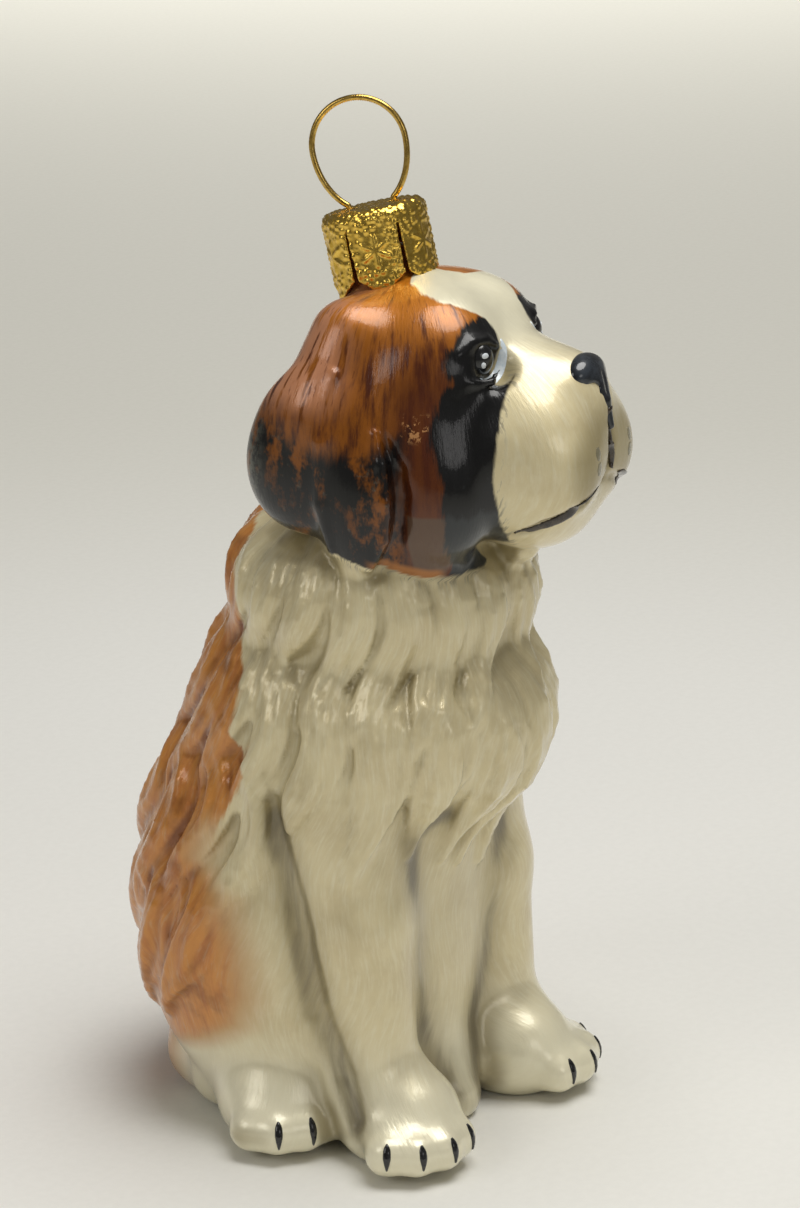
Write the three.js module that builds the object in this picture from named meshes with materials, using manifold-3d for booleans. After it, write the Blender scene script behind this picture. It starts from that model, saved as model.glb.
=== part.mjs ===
// A mouth-blown glass tree ornament, a sitting Saint Bernard puppy, with its metal cap and wire ring.
// The figure is one smooth field of blended ellipsoids and tapered rods, turned into a closed surface and
// parted by thin cuts into the pieces a person would name. Locks of the coat are raised in the same surface.
// Millimetres, +Z up. The puppy faces -Y, its left side is +X, and it sits on Z = 0.

import * as THREE from "three";
import Module from "manifold-3d";
import { mergeVertices } from "three/addons/utils/BufferGeometryUtils.js";

const wasm = await Module();
wasm.setup();

// Driving sizes
const bodyWidth = 42;
const bodyLength = 44;
const legSpacing = 24;
const legRadius = 5.7;
const headTurn = 10;
const skullWidth = 31;
const muzzleWidth = 20.8;
const capDiameter = 11.4;
const ringDiameter = 10.9;
const wireDiameter = 0.7;
const gap = 0.3;
const headCell = 1.6;
const bodyCell = 1.6;
const flatness = 0.15;
const sides = [
  { name: "left", sign: 1 },
  { name: "right", sign: -1 },
];

const paint = {
  cream: new THREE.MeshStandardMaterial({ color: 0xd9d2b4, roughness: 0.18, metalness: 0.1 }),
  brown: new THREE.MeshStandardMaterial({ color: 0x9a5520, roughness: 0.18, metalness: 0.1 }),
  black: new THREE.MeshStandardMaterial({ color: 0x141213, roughness: 0.15, metalness: 0.1 }),
  gold: new THREE.MeshStandardMaterial({ color: 0xc9a12e, roughness: 0.3, metalness: 1 }),
};

// Distance fields: each shape is a function of a point, negative inside

function smoothMin(a, b, blend) {
  const overlap = Math.max(blend - Math.abs(a - b), 0) / blend;
  return Math.min(a, b) - (overlap * overlap * blend) / 4;
}

function ellipsoid([cx, cy, cz], [rx, ry, rz]) {
  return (x, y, z) => {
    const [px, py, pz] = [x - cx, y - cy, z - cz];
    const inUnits = Math.hypot(px / rx, py / ry, pz / rz);
    const slope = Math.hypot(px / (rx * rx), py / (ry * ry), pz / (rz * rz));
    return slope < 1e-9 ? -Math.min(rx, ry, rz) : (inUnits * (inUnits - 1)) / slope;
  };
}

function taperedRod(from, to, startRadius, endRadius) {
  const along = to.map((value, i) => value - from[i]);
  const length2 = along[0] ** 2 + along[1] ** 2 + along[2] ** 2;
  return (x, y, z) => {
    const [px, py, pz] = [x - from[0], y - from[1], z - from[2]];
    const share = (px * along[0] + py * along[1] + pz * along[2]) / length2;
    const t = Math.min(1, Math.max(0, share));
    const away = Math.hypot(px - t * along[0], py - t * along[1], pz - t * along[2]);
    return away - startRadius - t * (endRadius - startRadius);
  };
}

// A bent rod through a list of [x, y, z, radius] stations.
function bentRod(stations, blend) {
  const rods = [];
  for (let i = 1; i < stations.length; i++) {
    const [start, end] = [stations[i - 1], stations[i]];
    rods.push(taperedRod(start.slice(0, 3), end.slice(0, 3), start[3], end[3]));
  }
  const middle = stations[Math.floor(stations.length / 2)];
  const reach = Math.max(
    ...stations.map((s) => Math.hypot(s[0] - middle[0], s[1] - middle[1], s[2] - middle[2]) + s[3]),
  );
  return (x, y, z) => {
    const away = Math.hypot(x - middle[0], y - middle[1], z - middle[2]) - reach;
    if (away > 5) return away;
    return rods.reduce((nearest, rod) => smoothMin(nearest, rod(x, y, z), blend), 1e3);
  };
}

// The same shape, built in a frame turned about the vertical through a pivot.
function turned(shape, degrees, [px, py]) {
  const [c, s] = [Math.cos(THREE.MathUtils.degToRad(degrees)), Math.sin(THREE.MathUtils.degToRad(degrees))];
  return (x, y, z) => shape(c * (x - px) + s * (y - py), c * (y - py) - s * (x - px), z);
}

// Joins a list of forms in order, each with the width over which it blends into those before it
function blended(pieces) {
  return (x, y, z) => {
    let distance = 1e3;
    for (const { shape, blend } of pieces) distance = smoothMin(distance, shape(x, y, z), blend);
    return distance;
  };
}

const add = (shape, blend) => ({ shape, blend });
const bothSides = (make) => sides.flatMap(({ sign }) => make(sign));

// The body's forms

const bellyStrip = [
  [2, -5.5, 32, 4.4],
  [2.6, -7.4, 20, 4.6],
  [2.2, -9, 12, 4.4],
  [1.4, -11.2, 6.4, 4.2],
  [0.6, -14, 2.4, 3.6],
];
const torsoForms = [
  add(ellipsoid([0, 4.4, 26], [bodyWidth / 2 - 1, bodyLength / 2 - 3, 22]), 1),
  add(ellipsoid([0, 4.6, 19], [16.5, 17, 13]), 5),
  add(ellipsoid([0, -0.5, 42], [17.4, 16, 20]), 7),
  add(ellipsoid([0, -5.6, 48], [17.2, 18.6, 12]), 5),
  add(ellipsoid([0, -5.2, 62.5], [16.2, 16.2, 10.5]), 4),
  add(ellipsoid([0, -4, 16], [14, 10.5, 18]), 4),
  add(bentRod(bellyStrip, 2), 3),
];

const legForms = bothSides((sign) => {
  const legX = (sign * legSpacing) / 2;
  return [
    add(bentRod([[legX * 0.95, -6, 40, 8], [legX, -9.5, 26, 6.4], [legX, -11.4, 10, legRadius]], 2), 3),
    add(ellipsoid([sign * 11.6, -15, 4.8], [6.5, 7.6, 6.2]), 3),
    add(ellipsoid([sign * 12.8, 2.5, 20], [8.6, 14.5, 17.5]), 2),
    add(taperedRod([sign * 8.6, 9.5, 4.6], [sign * 15.5, -1, 4.8], 4.2, 5), 3),
    add(ellipsoid([sign * 15.8, -2, 4.8], [6.2, 6.6, 5.6]), 2.5),
  ];
});

// Each paw has four toes in a fan that points a little outwards, the two in the middle reaching furthest.
const toeFan = [-1.5, -0.5, 0.5, 1.5];
const paws = [
  { x: 11.6, y: -14, splay: 25, reach: 8.8, step: 21 },
  { x: 15, y: -0.5, splay: 38, reach: 7.6, step: 23 },
];

function toe(paw, sign, place) {
  const angle = THREE.MathUtils.degToRad(sign * paw.splay + place * paw.step);
  const reach = paw.reach - 0.7 * (Math.abs(place) - 0.5);
  const [dx, dy] = [Math.sin(angle), -Math.cos(angle)];
  const at = (share, z) => [sign * paw.x + dx * reach * share, paw.y + dy * reach * share, z];
  return taperedRod(at(0.5, 4.6), at(1, 3.3), 3, 2.5);
}
const toeForms = bothSides((sign) =>
  paws.flatMap((paw) => toeFan.map((place) => add(toe(paw, sign, place), 1.4))),
);

// The tail comes off the rump and lies on the floor, curled towards the right hind paw.
const tailPath = [
  [0, 17.6, 13, 4.8],
  [-3, 17, 6.8, 4.7],
  [-8, 13.2, 4.3, 4.4],
  [-12, 8.4, 3.8, 3.6],
];
const tailForms = [add(bentRod(tailPath, 2), 2)];

// The head's forms, in a frame turned about the neck: its origin is on the pivot
const headPivot = [0, -6];
const inHeadFrame = (pieces) =>
  pieces.map((piece) => ({ ...piece, shape: turned(piece.shape, headTurn, headPivot) }));
const headForms = inHeadFrame([
  add(ellipsoid([0, -4, 83], [skullWidth / 2 - 1, 12, 14.4]), 1),
  ...bothSides((sign) => [
    add(ellipsoid([sign * 5.1, -8.6, 88], [6.1, 6, 7.2]), 4),
    add(ellipsoid([sign * 8.8, -6.2, 75.8], [6.8, 9.8, 9.2]), 4),
  ]),
  add(taperedRod([0, -12, 85.6], [0, -20.2, 85.6], 5.6, 4.2), 3),
  add(ellipsoid([0, -16.5, 80.8], [muzzleWidth / 2 - 0.2, 9.3, 9.4]), 3),
  ...bothSides((sign) => [add(ellipsoid([sign * (muzzleWidth / 2 - 5.9), -17.9, 78.9], [5.9, 8.2, 7.5]), 2)]),
  add(ellipsoid([0, -16.6, 73.8], [8, 7.2, 5.6]), 2),
  add(taperedRod([0, 1, 92], [0, 1.6, 96.8], 4.6, 3.8), 2),
]);

// Each ear hangs from the side of the crown, wide at the back and ending in a tip low at the front.
const earForms = inHeadFrame(
  bothSides((sign) => [
    add(taperedRod([sign * 8.6, 0.6, 91], [sign * 12.4, 2.8, 84], 4.6, 4.4), 2.5),
    add(ellipsoid([sign * 13.6, 2.4, 79.6], [3.4, 7.6, 9]), 2),
    add(ellipsoid([sign * 13, 5, 77.4], [3.6, 5.2, 6]), 2),
    add(ellipsoid([sign * 14, -3, 74.2], [3, 4.6, 7]), 2),
  ]),
);

const bareForms = [...torsoForms, ...legForms, ...tailForms, ...headForms, ...earForms, ...toeForms];
const bareFigure = blended(bareForms);

// Locks of the coat: bent, tapered rods sunk into the surface so that a low ridge stands out of it

const bodyAxisY = (z) => THREE.MathUtils.mapLinear(Math.min(62, Math.max(24, z)), 24, 62, 1, -6);

function surfacePoint(angle, z) {
  const [dx, dy] = [Math.sin(angle), -Math.cos(angle)];
  let radius = 34;
  for (let step = 0; step < 60; step++) {
    const distance = bareFigure(dx * radius, bodyAxisY(z) + dy * radius, z);
    if (distance < 0.01) break;
    radius -= distance * 0.7;
  }
  return [dx, dy, radius];
}

const lockShare = [0, 0.25, 0.5, 0.78, 1];
const lockFat = [0.34, 0.5, 0.5, 0.36, 0.14];
const lockRise = [0, 0.85, 1, 0.95, 0.5];

function lock({ angle, top, length, lean, sway, width, rise }) {
  const stations = lockShare.map((share, i) => {
    const z = top - length * share;
    const turn = angle + THREE.MathUtils.degToRad(lean * share + sway * Math.sin(share * 4.4));
    const [dx, dy, radius] = surfacePoint(turn, z);
    const fat = width * lockFat[i];
    const out = radius - fat + rise * lockRise[i];
    return [dx * out, bodyAxisY(z) + dy * out, z, fat];
  });
  return add(bentRod(stations, 0.5), 0.6);
}

// Tiers from the top down: where each row of locks starts, how it hangs, and the part of the circle that it covers
const tiers = [
  { from: -180, to: 180, count: 18, top: 70, length: 15, lean: 8, sway: 4, width: 5.6, rise: 1, frontDrop: 3 },
  { from: -115, to: 115, count: 11, top: 57, length: 16, lean: -6, sway: 5, width: 5.8, rise: 1.1, frontDrop: 6 },
  { from: 100, to: 260, count: 9, top: 62, length: 19, lean: 5, sway: 6, width: 5.2, rise: 1.1, frontDrop: 0 },
  { from: 92, to: 268, count: 9, top: 47, length: 19, lean: -6, sway: 6, width: 5.8, rise: 1.1, frontDrop: 0 },
  { from: 96, to: 264, count: 9, top: 32, length: 17, lean: 6, sway: 6, width: 5.6, rise: 1, frontDrop: 0 },
];

let seed = 7;
function random() {
  seed = (seed * 16807) % 2147483647;
  return seed / 2147483647;
}

const locks = tiers.flatMap(({ from, to, count, top, length, lean, sway, width, rise, frontDrop }, row) =>
  Array.from({ length: count }, (_, i) => {
    const degrees = from + ((to - from) * (i + 0.5 + 0.25 * (row % 2))) / count;
    const side = Math.sin(THREE.MathUtils.degToRad(degrees)) < 0 ? -1 : 1;
    const front = Math.max(0, Math.cos(THREE.MathUtils.degToRad(degrees)));
    return lock({
      angle: THREE.MathUtils.degToRad(degrees),
      top: top - 2 * random() - frontDrop * 0.3 * front,
      length: length * (0.85 + 0.3 * random()) + frontDrop * front,
      lean: lean * side,
      sway: sway * (0.7 + 0.6 * random()),
      width: width * (0.85 + 0.3 * random()),
      rise,
    });
  }),
);

const figure = blended([...bareForms, ...locks]);

// A grid cell: its corners, its edges by their lower corner and axis, and the corners and edges round each face
const cubeCorners = [0, 1, 2, 3, 4, 5, 6, 7].map((corner) => [corner & 1, (corner >> 1) & 1, corner >> 2]);
const cubeEdges = cubeCorners.flatMap((place, a) =>
  [0, 1, 2].filter((axis) => !place[axis]).map((axis) => ({ id: a * 3 + axis, a, b: a | (1 << axis), axis })),
);
const cubeFaces = [0, 1, 2].flatMap((axis) =>
  [0, 1].map((side) => {
    const [u, v] = [(axis + 1) % 3, (axis + 2) % 3];
    const base = side << axis;
    const round = [base, base | (1 << u), base | (1 << u) | (1 << v), base | (1 << v)];
    return round.map((corner, i) => {
      const next = round[(i + 1) % 4];
      const along = corner ^ next;
      return { corner, edge: Math.min(corner, next) * 3 + Math.log2(along) };
    });
  }),
);

// A closed surface where the field is zero. Each sheet of it in a grid cell gets one vertex, each crossed grid edge
// one quad. Two sheets that pass through one cell stay apart, so that the surface never pinches.
function polygonise(field, low, high, cell) {
  const count = low.map((value, i) => Math.ceil((high[i] - value) / cell) + 1);
  const strides = [1, count[0], count[0] * count[1]];
  const values = new Float32Array(count[0] * count[1] * count[2]);
  for (let k = 0, at = 0; k < count[2]; k++)
    for (let j = 0; j < count[1]; j++)
      for (let i = 0; i < count[0]; i++, at++)
        values[at] = field(low[0] + i * cell, low[1] + j * cell, low[2] + k * cell);

  const vertexOf = new Map();
  const positions = [];
  for (let k = 0; k < count[2] - 1; k++)
    for (let j = 0; j < count[1] - 1; j++)
      for (let i = 0; i < count[0] - 1; i++) {
        const at = i + j * strides[1] + k * strides[2];
        const corners = cubeCorners.map((c) => values[at + c[0] + c[1] * strides[1] + c[2] * strides[2]]);
        for (const sheet of sheetsIn(corners)) {
          const vertex = positions.length / 3;
          [i, j, k].forEach((index, d) => positions.push(low[d] + (index + sheet.middle[d]) * cell));
          sheet.edges.forEach((edge) => vertexOf.set(at * 24 + edge, vertex));
        }
      }

  const triangles = [];
  for (let at = 0; at < values.length - strides[2]; at++)
    for (let axis = 0; axis < 3; axis++) {
      const inside = values[at] < 0;
      if (inside === values[at + strides[axis]] < 0) continue;
      const [u, v] = [(axis + 1) % 3, (axis + 2) % 3];
      const quad = [0, 1 << u, (1 << u) | (1 << v), 1 << v].map((corner) => {
        const cellAt = at - (corner & (1 << u) ? strides[u] : 0) - (corner & (1 << v) ? strides[v] : 0);
        return vertexOf.get(cellAt * 24 + corner * 3 + axis);
      });
      const [a, b, c, d] = inside ? quad : quad.reverse();
      triangles.push(a, b, c, a, c, d);
    }
  return solidFrom(new Float32Array(positions), new Uint32Array(triangles)).simplify(flatness);
}

// The sheets of surface in one cell, from the field at its 8 corners: the crossed edges of each, and their middle.
function sheetsIn(values) {
  const sheets = new Map();
  for (const edge of cubeEdges) if (values[edge.a] < 0 !== values[edge.b] < 0) sheets.set(edge.id, new Set([edge.id]));
  if (!sheets.size) return [];
  for (const face of cubeFaces) {
    const crossed = face.filter(({ edge }) => sheets.has(edge));
    const pairs =
      crossed.length === 4
        ? face.flatMap(({ corner, edge }, i) => (values[corner] < 0 ? [[edge, face[(i + 3) % 4].edge]] : []))
        : crossed.length === 2
          ? [crossed.map(({ edge }) => edge)]
          : [];
    for (const [first, second] of pairs) {
      const joined = new Set([...sheets.get(first), ...sheets.get(second)]);
      joined.forEach((edge) => sheets.set(edge, joined));
    }
  }
  return [...new Set(sheets.values())].map((edges) => {
    const middle = [0, 0, 0];
    for (const { id, a, b, axis } of cubeEdges.filter((edge) => edges.has(edge.id))) {
      const share = values[a] / (values[a] - values[b]);
      middle.forEach((_, d) => (middle[d] += (cubeCorners[a][d] + (d === axis ? share : 0)) / edges.size));
    }
    return { edges, middle };
  });
}

function solidFrom(vertProperties, triVerts) {
  return new wasm.Manifold(new wasm.Mesh({ numProp: 3, vertProperties, triVerts }));
}

// Solids from three.js geometry, and back

function solidOf(geometry) {
  const bare = geometry.index ? geometry.toNonIndexed() : geometry;
  ["normal", "uv"].forEach((name) => bare.deleteAttribute(name));
  const merged = mergeVertices(bare, 1e-4);
  return solidFrom(new Float32Array(merged.attributes.position.array), new Uint32Array(merged.index.array));
}

function geometryOf(solid) {
  const { vertProperties, triVerts } = solid.getMesh();
  const geometry = new THREE.BufferGeometry();
  geometry.setAttribute("position", new THREE.BufferAttribute(new Float32Array(vertProperties), 3));
  geometry.setIndex(new THREE.BufferAttribute(new Uint32Array(triVerts), 1));
  return geometry;
}

const largestPiece = (solid) => solid.decompose().sort((a, b) => b.volume() - a.volume())[0];

// A corner list moved outwards by a distance, for a slot round a cutter
function grown(corners, distance) {
  return corners.map((corner, i) => {
    const before = corners[(i + corners.length - 1) % corners.length];
    const after = corners[(i + 1) % corners.length];
    const along = [corner[0] - before[0], corner[1] - before[1]];
    const onward = [after[0] - corner[0], after[1] - corner[1]];
    const [l1, l2] = [Math.hypot(...along), Math.hypot(...onward)];
    const normal = [along[1] / l1 + onward[1] / l2, -along[0] / l1 - onward[0] / l2];
    const scale = distance / ((normal[0] ** 2 + normal[1] ** 2) / 2);
    return [corner[0] + normal[0] * scale, corner[1] + normal[1] * scale];
  });
}

// A side-view outline of [y, z] corners, anticlockwise seen from +X, drawn out along X
function sideBlock(corners, fromX, toX) {
  const shape = new THREE.Shape(corners.map(([y, z]) => new THREE.Vector2(y, z)));
  const geometry = new THREE.ExtrudeGeometry(shape, { depth: toX - fromX, bevelEnabled: false });
  const upright = new THREE.Matrix4().makeBasis(
    new THREE.Vector3(0, 1, 0),
    new THREE.Vector3(0, 0, 1),
    new THREE.Vector3(1, 0, 0),
  );
  return solidOf(geometry.applyMatrix4(upright).translate(fromX, 0, 0));
}

// A plan-view outline of [x, y] corners, drawn up from one height to another
function planBlock(corners, fromZ, toZ) {
  const shape = new THREE.Shape(corners.map(([x, y]) => new THREE.Vector2(x, y)));
  const geometry = new THREE.ExtrudeGeometry(shape, { depth: toZ - fromZ, bevelEnabled: false });
  return solidOf(geometry.translate(0, 0, fromZ));
}

const wide = 40;
const outer = (sign, inner) => (sign < 0 ? [-wide, -inner] : [inner, wide]);

// Splits a solid by a cutter: the piece inside it, and what is left outside a slot round it
function split(solid, cutter, slot) {
  return [solid.intersect(cutter), solid.subtract(slot)];
}

function splitBySide(solid, corners, sign, inner) {
  const cutter = sideBlock(corners, ...outer(sign, inner));
  return split(solid, cutter, sideBlock(grown(corners, gap), ...outer(sign, inner - gap)));
}

// The seams between the named pieces, as side-view corners

const neckSeam = [
  [-60, 67],
  [-10, 67],
  [6, 74.5],
  [60, 74.5],
];
const ruffSeam = [
  [-60, 50.5],
  [-18, 53.5],
  [16, 60],
  [60, 60],
];
const below = (seam, floor) => [[60, floor], ...[...seam].reverse(), [-60, floor]];
const lowered = (seam, drop) => seam.map(([y, z]) => [y, z - drop]);
const thighSeam = [
  [-12.4, -5],
  [-12.2, 0.4],
  [-10.2, 8.4],
  [-7, 17.5],
  [-3.6, 34],
];
const forelegOutline = [...thighSeam, [-4.2, 38], [-14, 39.5], [-wide, 44], [-wide, -5]];
const hindlegOutline = [
  [19.5, -5],
  [20, 16],
  [17.5, 27],
  [11, 36],
  [4, 39.5],
  [-4, 36],
  [-9, 28],
  [-20, 6],
  [-24, -5],
];
const forelegInner = 5.6;
const hindlegInner = 8.6;
const tailOutline = [
  [4.5, 23],
  [-2, 23],
  [-10.5, 18.5],
  [-16.6, 9.4],
  [-13.8, 4.2],
  [-8.2, 3.9],
  [-4.6, 9.4],
  [1.5, 12.4],
];
const tailTop = 12.5;

// The earflap outline lies in the head's own frame, as do the seats of the eyes and the nose
const earOutline = [
  [12.5, 73],
  [14, 84],
  [7, 95],
  [-3, 95],
  [-6, 88],
  [-7.6, 80],
  [-8.6, 66.4],
  [-1, 66.4],
  [5, 69.2],
];
const earInner = 11.9;
const eye = { x: 6.7, y: -13.2, z: 90.1, radius: 2, depth: 1.1 };
const nose = { y: -22.3, z: 87.4, width: 6.8, height: 5, depth: 3.4 };

const inHead = (solid) => solid.rotate([0, 0, headTurn]).translate([...headPivot, 0]);

// The glass figure, standing on flats where the floor cuts its underside

const plainTop = 80;
const bodyField = (x, y, z) => Math.max(figure(x, y, z), z - plainTop);
const headField = (x, y, z) => Math.max(figure(x, y, z), 62 - z);
const floorCut = sideBlock([[60, 0], [60, 120], [-60, 120], [-60, 0]], -wide, wide);
const bodySolid = polygonise(bodyField, [-27, -37, -4], [27, 29, plainTop + 2], bodyCell).intersect(floorCut);
const headSolid = polygonise(headField, [-24, -37, 59], [24, 16, 103], headCell);

const aboveNeck = sideBlock([...neckSeam, [60, 130], [-60, 130]], -wide, wide);
const belowNeck = sideBlock(below(lowered(neckSeam, gap), -10), -wide, wide);
const belowRuff = sideBlock(below(lowered(ruffSeam, gap), -10), -wide, wide);
const aboveRuff = sideBlock([...ruffSeam, [60, 130], [-60, 130]], -wide, wide);

const pieces = new Map();

let body = bodySolid.intersect(belowNeck);
pieces.set("neck_ruff", { solid: body.intersect(aboveRuff), material: paint.cream });
body = body.intersect(belowRuff);

const tailCutter = planBlock(tailOutline, -5, tailTop);
const tailSlot = planBlock(grown(tailOutline, gap), -6, tailTop + gap);
const [tail, bodyWithoutTail] = split(body, tailCutter, tailSlot);
pieces.set("tail", { solid: tail, material: paint.brown });
body = bodyWithoutTail;

for (const { name, sign } of sides) {
  const [foreleg, rest] = splitBySide(body, forelegOutline, sign, forelegInner);
  const [hindleg, torso] = splitBySide(rest, hindlegOutline, sign, hindlegInner);
  pieces.set(`foreleg_${name}`, { solid: foreleg, material: paint.cream });
  pieces.set(`hindleg_${name}`, { solid: hindleg, material: paint.cream });
  body = torso;
}
pieces.set("torso", { solid: body, material: paint.brown });

let head = headSolid.intersect(aboveNeck);
for (const { name, sign } of sides) {
  const ear = inHead(sideBlock(earOutline, ...outer(sign, earInner)));
  const earSlot = inHead(sideBlock(grown(earOutline, gap), ...outer(sign, earInner - gap)));
  const [flap, rest] = split(head, ear, earSlot);
  pieces.set(`ear_${name}`, { solid: flap, material: paint.black });
  head = rest;
}

// Eyes and nose are low domes, each seated in a pocket of its own.

function dome(radii, [x, y, z], turns) {
  const geometry = new THREE.SphereGeometry(1, 16, 9).scale(...radii);
  return solidOf(geometry).rotate(turns).translate([x, y, z]);
}

function seated(name, radii, place, turns, material) {
  const pocket = inHead(dome(radii.map((radius) => radius + gap), place, turns));
  head = head.subtract(pocket);
  pieces.set(name, { solid: inHead(dome(radii, place, turns)), material });
}

for (const { name, sign } of sides) {
  const turns = [0, 0, sign * 32];
  seated(`eye_${name}`, [eye.radius, eye.depth, eye.radius], [sign * eye.x, eye.y, eye.z], turns, paint.black);
}
seated("nose", [nose.width / 2, nose.depth / 2, nose.height / 2], [0, nose.y, nose.z], [0, 0, 0], paint.black);
pieces.set("head", { solid: head, material: paint.brown });

// The metal cap: a thin cup over the glass stem, slit into six petals with pointed ends

const capRadius = capDiameter / 2;
const capWall = 0.4;
const capHeight = 9.2;
const capLean = 15;
const capTop = [0.1, -3.4, 103.6];
const petals = 6;

function onCap(solid) {
  return solid.rotate([-capLean, 0, 0]).translate(capTop);
}

function capShell() {
  const roundness = 1.1;
  const outside = [0, 22.5, 45, 67.5, 90].map((degrees) => {
    const angle = THREE.MathUtils.degToRad(degrees);
    return [capRadius - roundness + roundness * Math.sin(angle), -roundness + roundness * Math.cos(angle)];
  });
  const inside = outside.map(([radius, height]) => [radius - capWall * 0.9, height - capWall]).reverse();
  const profile = [
    [0, 0],
    ...outside,
    [capRadius, -capHeight],
    [capRadius - capWall, -capHeight],
    ...inside,
    [0, -capWall],
  ].map(([radius, height]) => new THREE.Vector2(radius, height));
  return solidOf(new THREE.LatheGeometry(profile.reverse(), 42).rotateX(Math.PI / 2));
}

function petalSlot() {
  const halfPitch = (Math.PI * capRadius) / petals;
  const slot = 0.24;
  const corners = [
    [-halfPitch, -capHeight - 1],
    [halfPitch, -capHeight - 1],
    [halfPitch, -capHeight + 0.1],
    [slot, -capHeight + 2],
    [slot, -2],
    [-slot, -2],
    [-slot, -capHeight + 2],
    [-halfPitch, -capHeight + 0.1],
  ];
  return sideBlock(corners, 2, 9);
}

const wireRadius = wireDiameter / 2;
const legSpread = 2.3;
const loopTurn = -64;
const loopHeight = 11.9;
const loopDrop = 7;

let cap = capShell();
for (let i = 0; i < petals; i++) cap = cap.subtract(petalSlot().rotate([0, 0, (360 * (i + 0.5)) / petals]));

for (const side of [-1, 1]) {
  const hole = new THREE.CylinderGeometry(wireRadius + 0.45, wireRadius + 0.45, 3, 16).rotateX(Math.PI / 2);
  cap = cap.subtract(solidOf(hole).translate([side * (legSpread + 0.1), 0, 0]).rotate([0, 0, loopTurn]));
}
cap = onCap(cap);
const crownClear = polygonise((x, y, z) => figure(x, y, z) - gap, [-9, -16, 86], [9, 6, 104], 1);
pieces.set("cap", { solid: cap.subtract(crownClear), material: paint.gold });

// The hanger: a round wire loop whose two ends pass down through the cap

function hanger() {
  const loopRadius = ringDiameter / 2 - wireRadius;
  const points = [new THREE.Vector3(-legSpread, 0, -1.7)];
  const middle = loopHeight - ringDiameter / 2;
  for (let step = -10; step <= 10; step++) {
    const angle = THREE.MathUtils.degToRad(15.1 * step);
    const reach = Math.cos(angle) > 0 ? loopRadius : loopDrop;
    points.push(new THREE.Vector3(Math.sin(angle) * loopRadius, 0, middle + Math.cos(angle) * reach));
  }
  points.push(new THREE.Vector3(legSpread, 0, -1.7));
  const path = new THREE.CatmullRomCurve3(points, false, "centripetal");
  const round = Array.from({ length: 8 }, (_, i) => {
    const angle = (i * Math.PI) / 4;
    return new THREE.Vector2(Math.cos(angle) * wireRadius, Math.sin(angle) * wireRadius);
  });
  const geometry = new THREE.ExtrudeGeometry(new THREE.Shape(round), { steps: 44, extrudePath: path });
  return solidOf(geometry);
}
pieces.set("hanger_ring", { solid: onCap(hanger().rotate([0, 0, loopTurn])), material: paint.gold });

const ornament = new THREE.Group();
for (const [name, { solid, material }] of pieces) {
  const mesh = new THREE.Mesh(geometryOf(largestPiece(solid)), material);
  mesh.name = name;
  ornament.add(mesh);
}
const extent = new THREE.Box3().setFromObject(ornament);
ornament.position.set(-(extent.min.x + extent.max.x) / 2, -(extent.min.y + extent.max.y) / 2, -extent.min.z);

export default ornament;
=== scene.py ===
import math

import bpy
import numpy as np
from mathutils import Matrix, Vector


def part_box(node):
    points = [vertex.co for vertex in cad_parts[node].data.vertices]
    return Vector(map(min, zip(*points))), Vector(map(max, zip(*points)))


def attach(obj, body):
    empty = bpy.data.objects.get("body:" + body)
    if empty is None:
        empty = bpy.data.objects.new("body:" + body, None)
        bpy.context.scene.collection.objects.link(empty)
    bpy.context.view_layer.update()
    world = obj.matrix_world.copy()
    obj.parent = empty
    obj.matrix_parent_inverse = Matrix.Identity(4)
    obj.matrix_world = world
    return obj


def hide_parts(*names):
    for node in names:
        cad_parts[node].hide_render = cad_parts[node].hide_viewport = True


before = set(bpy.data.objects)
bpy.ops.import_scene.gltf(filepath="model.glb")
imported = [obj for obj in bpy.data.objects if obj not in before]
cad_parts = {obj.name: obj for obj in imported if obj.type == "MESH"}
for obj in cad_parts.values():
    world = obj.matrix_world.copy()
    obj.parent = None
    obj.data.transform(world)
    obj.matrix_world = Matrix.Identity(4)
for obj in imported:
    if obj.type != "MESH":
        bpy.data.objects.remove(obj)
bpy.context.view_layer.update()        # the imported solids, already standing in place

mm = 0.001
print("stage 1: frame loaded,", len(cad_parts), "solids")


# the figure's field, the same forms and sizes as the solids, in millimetres
figure = {
    "bodyWidth": 42, "bodyLength": 44, "legSpacing": 24, "legRadius": 5.7,
    "headTurn": 10, "headPivot": (0, -6), "skullWidth": 31, "muzzleWidth": 20.8,
    "bellyStrip": ((2, -5.5, 32, 4.4), (2.6, -7.4, 20, 4.6), (2.2, -9, 12, 4.4), (1.4, -11.2, 6.4, 4.2),
                   (0.6, -14, 2.4, 3.6)),
    "tail": ((0, 17.6, 13, 4.8), (-3, 17, 6.8, 4.7), (-8, 13.2, 4.3, 4.4), (-12, 8.4, 3.8, 3.6)),
    "seamX": 5.6, "seamY": -3.6,   # inner and rear plane of the left foreleg, to find the solids' place
}


def smoothMin(a, b, blend):
    overlap = np.maximum(blend - np.abs(a - b), 0) / blend
    return np.minimum(a, b) - overlap * overlap * blend / 4


def ellipsoid(centre, radii):
    c, r = np.array(centre, float), np.array(radii, float)

    def distance(x, y, z):
        px, py, pz = x - c[0], y - c[1], z - c[2]
        units = np.sqrt((px / r[0]) ** 2 + (py / r[1]) ** 2 + (pz / r[2]) ** 2)
        slope = np.sqrt((px / r[0] ** 2) ** 2 + (py / r[1] ** 2) ** 2 + (pz / r[2] ** 2) ** 2)
        return np.where(slope < 1e-6, -r.min(), units * (units - 1) / np.maximum(slope, 1e-6))

    return {"distance": distance, "low": c - r, "high": c + r}


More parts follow.
